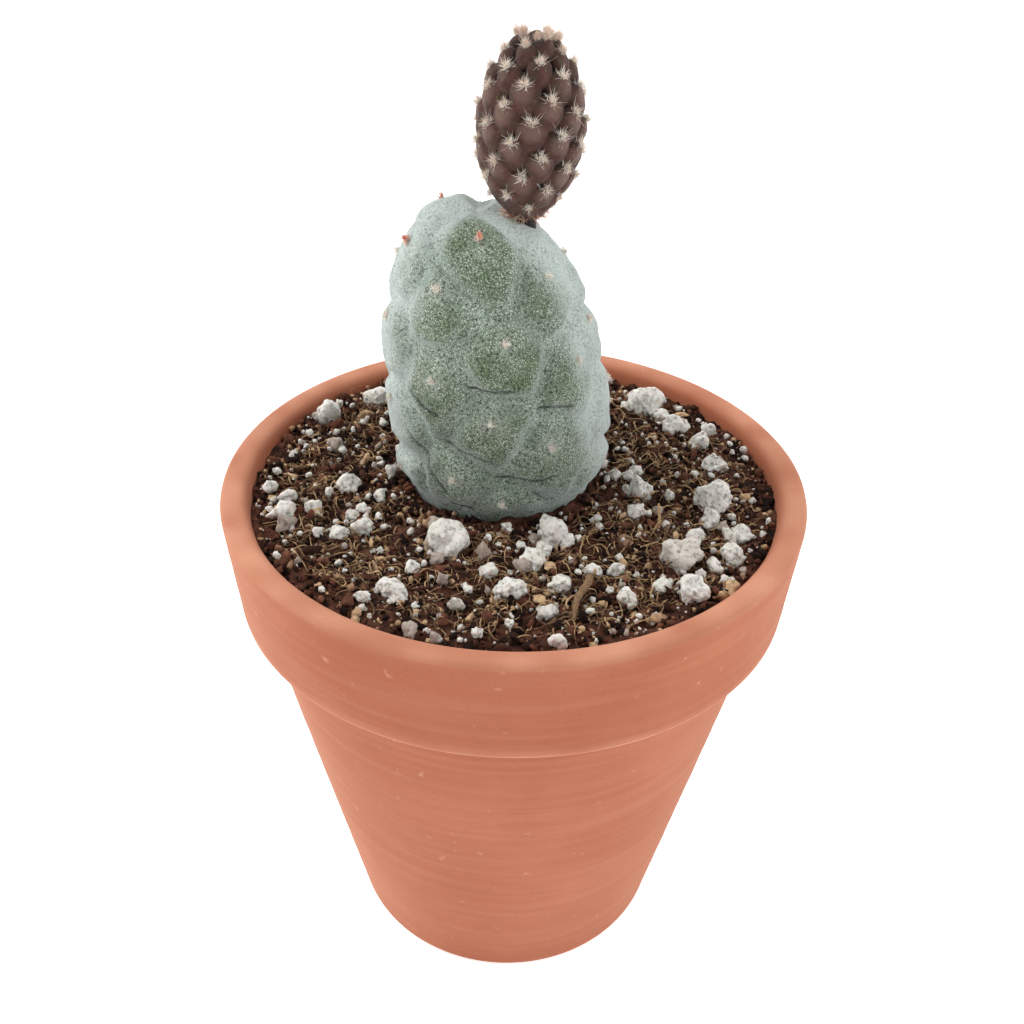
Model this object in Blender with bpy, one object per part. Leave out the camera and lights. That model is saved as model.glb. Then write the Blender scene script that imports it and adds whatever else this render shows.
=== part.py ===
"""A pine cone cactus in a clay pot: pot, soil with perlite, an old stem segment and a young cone segment.

Metres, +Z up. The origin is the centre of the pot's underside, and -Y is the front.
"""
import bisect
import math
import random

import bmesh
import bpy
from mathutils import Euler, Vector

MM = 0.001
GAP = 0.3 * MM
SIDES = 48
SEED = 11
GOLDEN_ANGLE = math.pi * (3.0 - math.sqrt(5.0))
SHARP_EDGE = math.radians(40.0)

# Pot: as tall as it is wide at the rim band's foot
POT_HEIGHT = 105.0 * MM
RIM_RADIUS = 54.0 * MM
BAND_HEIGHT = 21.0 * MM
BAND_FOOT_RADIUS = 52.6 * MM
BODY_TOP_RADIUS = 49.35 * MM
BASE_RADIUS = 34.1 * MM
DRAIN_RADIUS = 7.0 * MM
FLOOR_THICKNESS = 6.0 * MM
LIP_INNER_RADIUS = 49.4 * MM
LIP_INNER_ROUNDING = 2.5 * MM
LIP_OUTER_ROUNDING = 1.2 * MM
EDGE_CHAMFER = 1.2 * MM
WALL_KNEE_RADIUS = 45.4 * MM
FLOOR_RADIUS = 30.0 * MM

# Soil: its mean level, and how far its surface rolls
SOIL_LEVEL = 101.9 * MM
SOIL_ROLL = 0.9 * MM
SOIL_EDGE_LEVEL = 101.6 * MM
SOIL_MOUTH_DROP = 0.5 * MM
SOIL_RINGS = 9

# Large perlite lumps that the photo shows: x, y and width in millimetres
LARGE_LUMPS = (
    (-11.4, -21.0, 6.9), (6.5, -17.0, 5.4), (-0.6, -34.0, 4.8), (3.5, -25.2, 4.4), (28.7, -23.7, 6.5),
    (36.5, -6.7, 7.0), (-38.3, 22.0, 5.4), (-30.9, -3.4, 3.6), (-19.3, -34.4, 4.0), (-41.0, -13.7, 4.8),
    (9.6, -31.9, 3.6), (24.0, -2.0, 5.0), (18.9, -34.6, 4.2), (29.4, -32.5, 4.6), (38.0, -22.0, 4.1),
    (27.6, 30.9, 6.4), (-29.7, 31.0, 5.1), (22.0, -11.0, 3.7), (-26.5, -15.8, 3.8), (38.6, 5.8, 4.0),
)
SMALL_LUMPS = 44
SMALL_LUMP_WIDTH = (1.8 * MM, 3.2 * MM)
LARGE_LUMP_POINTS = 13
SMALL_LUMP_POINTS = 8
LUMP_REACH = 46.0 * MM
PLANT_CLEARANCE = 21.5 * MM

# Old lower segment: its foot in the soil, and its outline as height, centre x and radius in millimetres
SEGMENT_Y = 5.8 * MM
FOOT_X = -2.8 * MM
SEGMENT_KNOTS = (
    (86.0, -2.8, 12.5), (96.0, -2.8, 16.0), (103.0, -2.8, 17.9), (106.0, -2.7, 19.0), (111.0, -2.7, 19.6),
    (118.0, -3.3, 19.6), (125.0, -4.0, 19.2), (132.0, -4.9, 18.3), (138.0, -5.6, 16.5), (144.0, -6.4, 14.1),
    (148.5, -7.0, 11.8), (151.2, -7.3, 9.0), (152.7, -7.5, 5.2), (153.2, -7.6, 0.0),
)
# Where an areole sits off its whorl's even places: whorl and number, then degrees round and millimetres up
AREOLE_NUDGES = {
    (0, 4): (3.0, -2.5), (1, 0): (14.0, 1.3), (1, 4): (4.0, 0.2), (2, 4): (7.0, 0.2), (3, 4): (10.0, 2.2),
    (4, 3): (-7.0, 1.5), (4, 4): (4.0, 1.5), (5, 2): (6.0, -3.4), (5, 3): (-10.0, 3.0),
}

SEGMENT_ROWS = 36
SKIN_START = 103.5 * MM
SKIN_FADE = 3.5 * MM
AREOLE_WHORLS = 7
AREOLES_PER_WHORL = 5
TOP_WHORL_HEIGHT = 150.6 * MM
WHORL_SPACING = 7.25 * MM
WHORL_TURN = math.radians(4.0)
MOUND_DROP = 3.0 * MM
MOUND_HEIGHT = 1.5 * MM
MOUND_EDGE = 5.0 * MM
CREASE_SHARE = 0.35
AREOLE_RADIUS = 1.1 * MM
AREOLE_DEPTH = 1.8 * MM
AREOLE_SINK = 0.35 * MM
APEX_CENTER_HEIGHT = 138.0 * MM
AREOLE_SHIFT = 0.05
AREOLE_RISE = 0.4

# Young cone segment: where it grows from, its lean, and its radius over its height
CONE_BASE = Vector((0.7 * MM, SEGMENT_Y, 151.1 * MM))
CONE_LEAN = math.radians(2.4)
CONE_LENGTH = 29.6 * MM
CONE_WIDEST_RADIUS = 6.9 * MM
CONE_STALK_RADIUS = 2.1 * MM
CONE_STALK_DEPTH = 1.6 * MM
CONE_STALK_TOP = 0.5 * MM
CONE_FIRST_ROW = 0.6 * MM
CONE_ROW_STEP = 0.05 * MM
CONE_SIDES = 44
CONE_ROWS = 38
TUBERCLES = 66
TUBERCLE_HEIGHT = 1.75 * MM
TUBERCLE_HALF_WIDTH = 2.5 * MM
TUBERCLE_HALF_LENGTH = 3.2 * MM
TUBERCLE_TIP_LIFT = 0.35
LEAST_TURN_RADIUS = 1.5 * MM
TUFT_LENGTH = 1.1 * MM
TUFT_ROOT = 1.2 * MM
TUFT_RADIUS = 0.55 * MM
TUFT_TIP_RADIUS = 0.12 * MM
CONE_DENT_WIDTH = 6.2 * MM
CONE_DENT_DEPTH = 1.9 * MM
CONE_DENT_START = 140.0 * MM
CONE_DENT_FADE = 8.0 * MM
SOCKET_LENGTH = 8.0 * MM
AREOLE_CLEARANCE = 3.0 * CONE_STALK_RADIUS


def clear_scene():
    """Remove whatever a new file starts with."""
    for obj in list(bpy.data.objects):
        bpy.data.objects.remove(obj, do_unlink=True)


def make_material(name, color, roughness):
    """A plain Principled material in the photo's colour."""
    material = bpy.data.materials.new(name)
    material.use_nodes = True
    shader = material.node_tree.nodes["Principled BSDF"]
    shader.inputs["Base Color"].default_value = (*color, 1.0)
    shader.inputs["Roughness"].default_value = roughness
    shader.inputs["Metallic"].default_value = 0.0
    return material


def make_object(name, mesh_builder, material=None, collection=None):
    """Turn a bmesh into an object, with its faces facing outward and its rounded sides shaded smooth."""
    bmesh.ops.recalc_face_normals(mesh_builder, faces=mesh_builder.faces)
    mesh = bpy.data.meshes.new(name)
    mesh_builder.to_mesh(mesh)
    mesh_builder.free()
    mesh.shade_smooth()
    mesh.set_sharp_from_angle(angle=SHARP_EDGE)
    if material is not None:
        mesh.materials.append(material)
    obj = bpy.data.objects.new(name, mesh)
    (collection or bpy.context.scene.collection).objects.link(obj)
    return obj


def smooth_step(value):
    """An easy ramp from 0 to 1."""
    value = min(1.0, max(0.0, value))
    return value * value * (3.0 - 2.0 * value)


def circle_points(center_x, center_y, radius, height, sides=SIDES):
    """The points of a level circle."""
    turns = [2.0 * math.pi * i / sides for i in range(sides)]
    return [Vector((center_x + radius * math.cos(a), center_y + radius * math.sin(a), height)) for a in turns]


def loft(rings):
    """Close a stack of rings into one skin; a ring of one point is a pole. Returns a bmesh of triangles."""
    skin = bmesh.new()
    rows = [[skin.verts.new(point) for point in ring] for ring in rings]
    for lower, upper in zip(rows, rows[1:]):
        count = max(len(lower), len(upper))
        for i in range(count):
            j = (i + 1) % count
            if len(lower) == 1:
                skin.faces.new((lower[0], upper[i], upper[j]))
            elif len(upper) == 1:
                skin.faces.new((lower[i], lower[j], upper[0]))
            else:
                skin.faces.new((lower[i], lower[j], upper[j]))
                skin.faces.new((lower[i], upper[j], upper[i]))
    return skin


def fuse(target, extras, operation="UNION"):
    """Join the objects of a collection to a target, or cut them from it, and remove them."""
    modifier = target.modifiers.new("fuse", "BOOLEAN")
    modifier.operation = operation
    modifier.operand_type = "COLLECTION"
    modifier.collection = extras
    modifier.solver = "EXACT"
    bpy.context.view_layer.update()
    graph = bpy.context.evaluated_depsgraph_get()
    fused = bpy.data.meshes.new_from_object(target.evaluated_get(graph))
    target.modifiers.clear()
    target.data = fused
    for obj in list(extras.objects):
        bpy.data.objects.remove(obj, do_unlink=True)
    bpy.data.collections.remove(extras)
    return target


def new_collection(name):
    """An empty collection in the scene, for pieces that are about to be fused."""
    collection = bpy.data.collections.new(name)
    bpy.context.scene.collection.children.link(collection)
    return collection


def arc(center_r, center_z, radius, start_deg, end_deg, steps):
    """Points of a rounded edge in the pot's profile, from one angle to another."""
    angles = [math.radians(start_deg + (end_deg - start_deg) * i / steps) for i in range(steps + 1)]
    return [(center_r + radius * math.cos(a), center_z + radius * math.sin(a)) for a in angles]


def wall_radius(height):
    """Inner radius of the pot at a height: a cone up to the band, and a wider one within it."""
    knee = POT_HEIGHT - BAND_HEIGHT
    lip = POT_HEIGHT - LIP_INNER_ROUNDING
    if height > knee:
        share = min(1.0, (height - knee) / (lip - knee))
        return WALL_KNEE_RADIUS + share * (LIP_INNER_RADIUS - WALL_KNEE_RADIUS)
    share = (height - FLOOR_THICKNESS) / (knee - FLOOR_THICKNESS)
    return FLOOR_RADIUS + share * (WALL_KNEE_RADIUS - FLOOR_RADIUS)


def build_pot():
    """The profile of the wall, from the drainage hole round the outside and back, spun round Z."""
    knee = POT_HEIGHT - BAND_HEIGHT
    profile = [
        (DRAIN_RADIUS, 0.0),
        (BASE_RADIUS - EDGE_CHAMFER, 0.0),
        (BASE_RADIUS, EDGE_CHAMFER),
        (BODY_TOP_RADIUS, knee),
        (BAND_FOOT_RADIUS - EDGE_CHAMFER, knee),
        (BAND_FOOT_RADIUS, knee + EDGE_CHAMFER),
    ]
    profile += arc(RIM_RADIUS - LIP_OUTER_ROUNDING, POT_HEIGHT - LIP_OUTER_ROUNDING, LIP_OUTER_ROUNDING, 0, 90, 2)
    profile += arc(LIP_INNER_RADIUS + LIP_INNER_ROUNDING, POT_HEIGHT - LIP_INNER_ROUNDING,
                   LIP_INNER_ROUNDING, 90, 180, 3)
    profile += [
        (WALL_KNEE_RADIUS, knee),
        (FLOOR_RADIUS, FLOOR_THICKNESS),
        (DRAIN_RADIUS, FLOOR_THICKNESS),
    ]
    shell = bmesh.new()
    points = [shell.verts.new((radius, 0.0, height)) for radius, height in profile]
    edges = [shell.edges.new((points[i], points[(i + 1) % len(points)])) for i in range(len(points))]
    bmesh.ops.spin(shell, geom=points + edges, cent=(0, 0, 0), axis=(0, 0, 1), angle=2.0 * math.pi,
                   steps=SIDES, use_merge=True)
    bmesh.ops.triangulate(shell, faces=shell.faces)
    return make_object("pot", shell, make_material("terracotta", (0.58, 0.22, 0.115), 0.9))


def segment_outline(height):
    """Centre x and radius of the lower segment at a height, read along its knots."""
    knots = SEGMENT_KNOTS
    low = max(0, bisect.bisect_right([knot[0] * MM for knot in knots], height) - 1)
    low = min(low, len(knots) - 2)
    first, second = knots[low], knots[low + 1]
    share = (height / MM - first[0]) / (second[0] - first[0])
    share = min(1.0, max(0.0, share))
    center = first[1] + share * (second[1] - first[1])
    radius = first[2] + share * (second[2] - first[2])
    return center * MM, radius * MM


def segment_point(angle, row):
    """A point of the plain lower segment: the angle runs from the front, and the row from foot to apex."""
    knots = SEGMENT_KNOTS
    place = row / SEGMENT_ROWS * (len(knots) - 1)
    low = min(int(place), len(knots) - 2)
    share = place - low
    before, after = knots[max(low - 1, 0)], knots[min(low + 2, len(knots) - 1)]
    values = []
    for p0, p1, p2, p3 in zip(before, knots[low], knots[low + 1], after):
        slope = 0.5 * (p2 - p0)
        next_slope = 0.5 * (p3 - p1)
        square, cube = share * share, share ** 3
        values.append((2 * cube - 3 * square + 1) * p1 + (cube - 2 * square + share) * slope
                      + (3 * square - 2 * cube) * p2 + (cube - square) * next_slope)
    height, center, radius = values
    radius = max(radius, 0.0)
    return Vector(((center + radius * math.sin(angle)) * MM,
                   SEGMENT_Y - radius * math.cos(angle) * MM, height * MM))


def areole_places():
    """Angle and height of each areole: whorls of five, each turned by half a step from the last."""
    draw = random.Random(SEED)
    places = []
    step = 2.0 * math.pi / AREOLES_PER_WHORL
    for whorl in range(AREOLE_WHORLS):
        for i in range(AREOLES_PER_WHORL):
            aside, above = AREOLE_NUDGES.get((whorl, i), (0.0, 0.0))
            angle = WHORL_TURN + step * (i + 0.5 * whorl) + math.radians(aside) + draw.uniform(-AREOLE_SHIFT, AREOLE_SHIFT)
            height = TOP_WHORL_HEIGHT - WHORL_SPACING * whorl + (above + draw.uniform(-AREOLE_RISE, AREOLE_RISE)) * MM
            places.append((angle, height))
    return places


def on_segment(angle, height):
    """The point of the plain lower segment at an angle from the front and a height."""
    center, radius = segment_outline(height)
    return Vector((center + radius * math.sin(angle), SEGMENT_Y - radius * math.cos(angle), height))


def mound_rise(point, mounds):
    """How far the skin stands out: full within each tubercle, and low along the creases between two."""
    near = sorted((point - mound).length for mound in mounds)[:2]
    inside = smooth_step((near[1] - near[0]) / MOUND_EDGE)
    fade = smooth_step((point.z - SKIN_START) / SKIN_FADE)
    return MOUND_HEIGHT * fade * (inside - CREASE_SHARE)


def cone_dent(point):
    """How far the shoulder sinks under the cone segment."""
    reach = math.hypot(point.x - CONE_BASE.x, point.y - CONE_BASE.y) / CONE_DENT_WIDTH
    top = smooth_step((point.z - CONE_DENT_START) / CONE_DENT_FADE)
    return CONE_DENT_DEPTH * top * math.exp(-reach * reach)


def areole_nub(point, outward, collection):
    """A small low dome for an areole, its root sunk into the skin."""
    nub = bmesh.new()
    bmesh.ops.create_cone(nub, cap_ends=True, cap_tris=True, segments=6, radius1=AREOLE_RADIUS,
                          radius2=0.55 * AREOLE_RADIUS, depth=AREOLE_DEPTH)
    turn = outward.to_track_quat("Z", "Y")
    for vert in nub.verts:
        vert.co = turn @ vert.co + point - outward * AREOLE_SINK
    make_object("nub", nub, collection=collection)


def build_lower_segment():
    """The old segment: a leaning barrel of low tubercles on a round foot, with a socket for the cone."""
    places = areole_places()
    mounds = [on_segment(angle, height - MOUND_DROP) for angle, height in places]
    foot_height = SEGMENT_KNOTS[0][0] * MM
    rings = [[Vector((FOOT_X, SEGMENT_Y, foot_height))]]
    for row in range(SEGMENT_ROWS):
        center, _ = segment_outline(segment_point(0.0, row).z)
        ring = []
        for i in range(SIDES):
            point = segment_point(2.0 * math.pi * i / SIDES, row)
            outward = (point - Vector((center, SEGMENT_Y, min(point.z, APEX_CENTER_HEIGHT)))).normalized()
            moved = point + outward * mound_rise(point, mounds)
            moved.z -= cone_dent(point)
            ring.append(moved)
        rings.append(ring)
    apex = segment_point(0.0, SEGMENT_ROWS)
    apex.z -= cone_dent(apex)
    rings.append([apex])
    segment = make_object("lower_segment", loft(rings), make_material("blue_green_skin", (0.27, 0.36, 0.29), 0.6))

    nubs = new_collection("nubs")
    for angle, height in places:
        if height < SKIN_START + SKIN_FADE:
            continue
        point = on_segment(angle, height)
        if (point - CONE_BASE).length < AREOLE_CLEARANCE:
            continue
        center, _ = segment_outline(height)
        outward = (point - Vector((center, SEGMENT_Y, min(height, APEX_CENTER_HEIGHT)))).normalized()
        areole_nub(point + outward * (mound_rise(point, mounds) - cone_dent(point)), outward, nubs)
    fuse(segment, nubs)

    cutters = new_collection("cutters")
    socket = bmesh.new()
    bmesh.ops.create_cone(socket, cap_ends=True, segments=16, radius1=CONE_STALK_RADIUS + GAP,
                          radius2=CONE_STALK_RADIUS + GAP, depth=SOCKET_LENGTH)
    bmesh.ops.translate(socket, verts=socket.verts, vec=(0, 0, 0.5 * SOCKET_LENGTH - CONE_STALK_DEPTH - GAP))
    cutter = make_object("socket", socket, collection=cutters)
    cutter.location = CONE_BASE
    cutter.rotation_euler = Euler((0.0, CONE_LEAN, 0.0))
    return fuse(segment, cutters, "DIFFERENCE")


def cone_radius(share):
    """Radius of the cone segment's core: a blunt egg, widest just below the middle."""
    swell = math.sin(math.pi * min(1.0, max(0.0, share)) ** 0.92) ** 0.62
    return CONE_WIDEST_RADIUS * swell


def tubercle_places():
    """Angle, height and scale of each tubercle: a golden-angle spiral, crowded and smaller to the crown."""
    places = []
    for i in range(TUBERCLES):
        share = (i + 0.5) / TUBERCLES
        climb = 0.06 + 0.90 * share ** 0.96
        scale = 1.0 - 0.45 * smooth_step((climb - 0.70) / 0.30) - 0.25 * smooth_step((0.22 - climb) / 0.22)
        places.append((i * GOLDEN_ANGLE, climb * CONE_LENGTH, scale))
    return places


def tubercle_rise(angle, height, radius, places):
    """Height of the tallest tubercle over a point: round below, drawn to a tip above."""
    best = 0.0
    for tip_angle, tip_height, scale in places:
        turn = (angle - tip_angle + math.pi) % (2.0 * math.pi) - math.pi
        across = turn * max(radius, LEAST_TURN_RADIUS) / (TUBERCLE_HALF_WIDTH * scale)
        along = (height - tip_height) / (TUBERCLE_HALF_LENGTH * scale)
        along = along + TUBERCLE_TIP_LIFT if along < 0.0 else TUBERCLE_TIP_LIFT + 1.6 * along
        if abs(across) > 1.0 or abs(along) > 1.0:
            continue
        dome = 1.0 - across * across - along * along
        if dome > 0.0:
            best = max(best, TUBERCLE_HEIGHT * scale * dome ** 0.55)
    return best


def growth(share):
    """How full the tubercles are along the cone: less at its foot, and fading at its very tip."""
    return smooth_step((1.04 - share) / 0.12) * (0.75 + 0.25 * smooth_step(5.0 * share))


def build_cone_segment():
    """The young segment: an egg covered in spiral tubercles, each with a tuft, on a short plain stalk."""
    places = tubercle_places()
    rings = [[Vector((0, 0, -CONE_STALK_DEPTH))],
             circle_points(0, 0, CONE_STALK_RADIUS, -CONE_STALK_DEPTH, CONE_SIDES),
             circle_points(0, 0, CONE_STALK_RADIUS, CONE_STALK_TOP, CONE_SIDES)]
    for row in range(2, CONE_ROWS):
        share = 0.5 * (1.0 - math.cos(math.pi * row / CONE_ROWS))
        radius = max(cone_radius(share), CONE_STALK_RADIUS * (1.0 - smooth_step(4.0 * share)))
        height = max(share * CONE_LENGTH, CONE_FIRST_ROW + CONE_ROW_STEP * row)
        ring = []
        for i in range(CONE_SIDES):
            angle = 2.0 * math.pi * i / CONE_SIDES
            rise = tubercle_rise(angle, height, radius, places) * growth(share)
            out = radius + rise
            ring.append(Vector((out * math.cos(angle), out * math.sin(angle), height + TUBERCLE_TIP_LIFT * rise)))
        rings.append(ring)
    rings.append([Vector((0, 0, CONE_LENGTH))])
    cone = make_object("cone_segment", loft(rings), make_material("purple_brown_skin", (0.22, 0.13, 0.12), 0.75))

    tufts = new_collection("tufts")
    for angle, height, scale in places:
        share = height / CONE_LENGTH
        radius = cone_radius(share) + 0.8 * TUBERCLE_HEIGHT * scale * growth(share)
        lean = math.radians(25.0 + 50.0 * share)
        outward = Vector((math.cos(angle) * math.cos(lean), math.sin(angle) * math.cos(lean), math.sin(lean)))
        root = Vector((radius * math.cos(angle), radius * math.sin(angle), height + TUBERCLE_TIP_LIFT * TUBERCLE_HEIGHT))
        tuft = bmesh.new()
        bmesh.ops.create_cone(tuft, cap_ends=True, cap_tris=True, segments=5, radius1=TUFT_RADIUS,
                              radius2=TUFT_TIP_RADIUS, depth=TUFT_LENGTH + TUFT_ROOT)
        turn = outward.to_track_quat("Z", "Y")
        for vert in tuft.verts:
            vert.co = turn @ vert.co + root
        make_object("tuft", tuft, collection=tufts)
    fuse(cone, tufts)
    cone.location = CONE_BASE
    cone.rotation_euler = Euler((0.0, CONE_LEAN, 0.0))
    return cone


def soil_height(x, y):
    """Level of the soil: long low rolls with a few shorter ones across them."""
    a, b = x / MM, y / MM
    roll = 0.5 * math.sin(0.19 * a + 0.7) * math.cos(0.16 * b - 0.4)
    roll += 0.35 * math.sin(0.41 * a - 0.33 * b + 1.9) + 0.25 * math.cos(0.55 * b + 0.27 * a)
    return SOIL_LEVEL + SOIL_ROLL * roll


def perlite_lump(center, width, draw, points, collection):
    """A rough closed lump: the hull of a few seeded points on a flattened ball, half sunk in the soil."""
    lump = bmesh.new()
    stretch = (draw.uniform(0.85, 1.15), draw.uniform(0.65, 0.95), draw.uniform(0.6, 0.8))
    turn = Euler((0.0, 0.0, draw.uniform(0.0, math.pi))).to_matrix()
    for i in range(points):
        z = 1.0 - 2.0 * (i + 0.5) / points
        flat = math.sqrt(1.0 - z * z)
        angle = GOLDEN_ANGLE * i + draw.uniform(-0.3, 0.3)
        reach = 0.5 * width * draw.uniform(0.85, 1.05)
        place = Vector((flat * math.cos(angle) * stretch[0], flat * math.sin(angle) * stretch[1], z * stretch[2]))
        lump.verts.new(center + turn @ (place * reach))
    hull = bmesh.ops.convex_hull(lump, input=lump.verts)
    loose = [vert for vert in hull["geom_interior"] if isinstance(vert, bmesh.types.BMVert)]
    bmesh.ops.delete(lump, geom=loose, context="VERTS")
    make_object("lump", lump, collection=collection)


def build_soil():
    """The soil: a plug 0.3 mm clear of pot and plant, with perlite lumps fused to its rolling top."""
    foot_height = SEGMENT_KNOTS[0][0] * MM
    knee = POT_HEIGHT - BAND_HEIGHT
    foot_radius = SEGMENT_KNOTS[0][2] * MM + GAP
    mid_height, _, mid_radius = SEGMENT_KNOTS[1]
    rings = [[Vector((FOOT_X, SEGMENT_Y, foot_height - GAP))],
             circle_points(FOOT_X, SEGMENT_Y, foot_radius, foot_height - GAP),
             circle_points(FOOT_X, SEGMENT_Y, mid_radius * MM + GAP, mid_height * MM)]
    mouth_height = SOIL_LEVEL - SOIL_MOUTH_DROP
    mouth = circle_points(FOOT_X, SEGMENT_Y, segment_outline(mouth_height)[1] + 1.5 * GAP, mouth_height)
    edge = circle_points(0.0, 0.0, wall_radius(SOIL_EDGE_LEVEL) - GAP, SOIL_EDGE_LEVEL)
    rings.append(mouth)
    for k in range(1, SOIL_RINGS):
        share = k / SOIL_RINGS
        ring = [a.lerp(b, share) for a, b in zip(mouth, edge)]
        for point in ring:
            point.z += (soil_height(point.x, point.y) - point.z) * min(1.0, 4.0 * share, 5.0 * (1.0 - share))
        rings.append(ring)
    rings += [edge,
              circle_points(0.0, 0.0, WALL_KNEE_RADIUS - GAP, knee),
              circle_points(0.0, 0.0, FLOOR_RADIUS - GAP, FLOOR_THICKNESS + GAP),
              [Vector((0.0, 0.0, FLOOR_THICKNESS + GAP))]]
    soil = make_object("soil", loft(rings), make_material("potting_soil", (0.10, 0.055, 0.032), 0.95))

    draw = random.Random(SEED)
    lumps = new_collection("lumps")
    taken = []
    for x, y, width in LARGE_LUMPS:
        center = Vector((x * MM, y * MM, soil_height(x * MM, y * MM) + 0.12 * width * MM))
        perlite_lump(center, width * MM, draw, LARGE_LUMP_POINTS, lumps)
        taken.append((center, 0.5 * width * MM))
    placed = 0
    while placed < SMALL_LUMPS:
        width = draw.uniform(*SMALL_LUMP_WIDTH)
        angle, reach = draw.uniform(0.0, 2.0 * math.pi), LUMP_REACH * math.sqrt(draw.random())
        x, y = reach * math.cos(angle), reach * math.sin(angle)
        center = Vector((x, y, soil_height(x, y) + 0.1 * width))
        clear = math.hypot(x - FOOT_X, y - SEGMENT_Y) > PLANT_CLEARANCE + 0.5 * width
        clear = clear and all((center - other).length > size + 0.6 * width for other, size in taken)
        if clear:
            perlite_lump(center, width, draw, SMALL_LUMP_POINTS, lumps)
            taken.append((center, 0.5 * width))
            placed += 1
    return fuse(soil, lumps)


def main():
    clear_scene()
    build_pot()
    build_soil()
    build_lower_segment()
    build_cone_segment()


main()
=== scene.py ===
import math
import random

import bmesh
import bpy
import numpy as np
from mathutils import Matrix, Vector


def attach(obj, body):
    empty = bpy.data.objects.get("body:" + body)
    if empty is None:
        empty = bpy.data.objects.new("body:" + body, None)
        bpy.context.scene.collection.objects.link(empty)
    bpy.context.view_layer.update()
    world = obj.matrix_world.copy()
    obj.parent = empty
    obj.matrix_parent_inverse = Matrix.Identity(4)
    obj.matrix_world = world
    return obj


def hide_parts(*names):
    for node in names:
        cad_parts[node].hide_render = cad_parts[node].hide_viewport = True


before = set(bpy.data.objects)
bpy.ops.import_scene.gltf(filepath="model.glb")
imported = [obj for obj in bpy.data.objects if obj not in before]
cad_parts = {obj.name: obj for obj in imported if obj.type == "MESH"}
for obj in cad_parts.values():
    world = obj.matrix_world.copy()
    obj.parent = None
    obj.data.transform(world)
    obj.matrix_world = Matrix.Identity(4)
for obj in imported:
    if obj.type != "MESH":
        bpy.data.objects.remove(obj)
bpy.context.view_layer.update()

bl_info = {
    "name": "Potted pine cone cactus",
    "version": (1, 0, 0),
    "blender": (4, 5, 0),
    "location": "3D View > Sidebar > Cactus",
    "description": "Builds the finished surfaces of a pine cone cactus in a clay pot",
    "category": "Add Mesh",
}

MM = 0.001
GOLDEN_ANGLE = math.pi * (3.0 - math.sqrt(5.0))

# Sizes shared with the frame, in millimetres
POT_HEIGHT, RIM_RADIUS, BAND_HEIGHT = 105.0, 54.0, 21.0
BAND_FOOT_RADIUS, BODY_TOP_RADIUS, BASE_RADIUS = 52.6, 49.35, 34.1
DRAIN_RADIUS, FLOOR_THICKNESS, FLOOR_RADIUS = 7.0, 6.0, 30.0
LIP_INNER_RADIUS, LIP_INNER_ROUNDING, LIP_OUTER_ROUNDING = 49.4, 2.5, 1.2
WALL_KNEE_RADIUS = 45.4
SOIL_LEVEL, SOIL_ROLL, SOIL_EDGE_LEVEL, SOIL_GAP, FOOT_GAP = 101.9, 0.9, 101.6, 0.3, 0.2
SEGMENT_Y, FOOT_X = 5.8, -2.8
CONE_BASE = np.array([0.7, SEGMENT_Y, 151.1])
CONE_LEAN, CONE_LENGTH, CONE_WIDEST_RADIUS = math.radians(2.4), 29.6, 6.9
CONE_STALK_RADIUS, CONE_STALK_DEPTH = 2.1, 1.6
CONE_DENT_WIDTH, CONE_DENT_DEPTH, CONE_DENT_START, CONE_DENT_FADE = 6.2, 1.9, 140.0, 8.0
TUBERCLES, TUBERCLE_HEIGHT, TUBERCLE_HALF_WIDTH, TUBERCLE_HALF_LENGTH = 66, 2.15, 2.5, 3.2
TUBERCLE_TIP_SHARE, LEAST_TURN_RADIUS = 0.35, 1.5
SEED, AREOLE_WHORLS, AREOLES_PER_WHORL, WHORL_TURN = 11, 7, 5, 4.0
TOP_WHORL_HEIGHT, WHORL_SPACING, AREOLE_SHIFT, AREOLE_RISE = 150.6, 7.25, 0.05, 0.4
MOUND_DROP, MOUND_HEIGHT, MOUND_EDGE, CREASE_SHARE = 3.0, 1.45, 5.5, 0.35
SKIN_START, SKIN_FADE, APEX_CENTER_HEIGHT = 103.5, 3.5, 138.0

# Sizes of the finer pieces, in millimetres, and how many there are
PROFILE_STEP, CORNER_STEPS = 1.6, 6
LOWEST_AREOLE, LOWEST_LEAF, CONE_CLEARANCE = 106.5, 147.0, 6.0
HAIR_SIDES, HAIR_STEPS, AREOLE_HAIRS, LEAF_SCALES = 3, 3, 110, 16
CROWN_TUFTS, FOOT_CLUMPS, FOOT_HAIRS = 6, 14, 26
CRACK_WIDTH, CRACK_RADIUS, CRACK_END_SHARE = 0.27, 19.0, 0.15
LOW_SKIN_TOP, LOW_SKIN_FADE = 132.0, 20.0
FIBRE_STEPS, LITTER_STEPS, LITTER_SIDES = 7, 40, 12
POLE_RADIUS = 0.01

# A squeeze of X and Y that draws the turning lines out twenty times, and the floor's half width in metres
LINE_SQUEEZE = 0.05
FLOOR_REACH = 6.0

# Outline of the old segment: height, centre x and radius in millimetres
SEGMENT_KNOTS = np.array((
    (86.0, -2.8, 12.5), (96.0, -2.8, 16.0), (103.0, -2.8, 17.9), (106.0, -2.7, 19.0), (111.0, -2.7, 19.6),
    (118.0, -3.3, 19.6), (125.0, -4.0, 19.2), (132.0, -4.9, 18.3), (138.0, -5.6, 16.5), (144.0, -6.4, 14.1),
    (148.5, -7.0, 11.8), (151.2, -7.3, 9.0), (152.7, -7.5, 5.2), (153.2, -7.6, 0.0),
))

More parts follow.
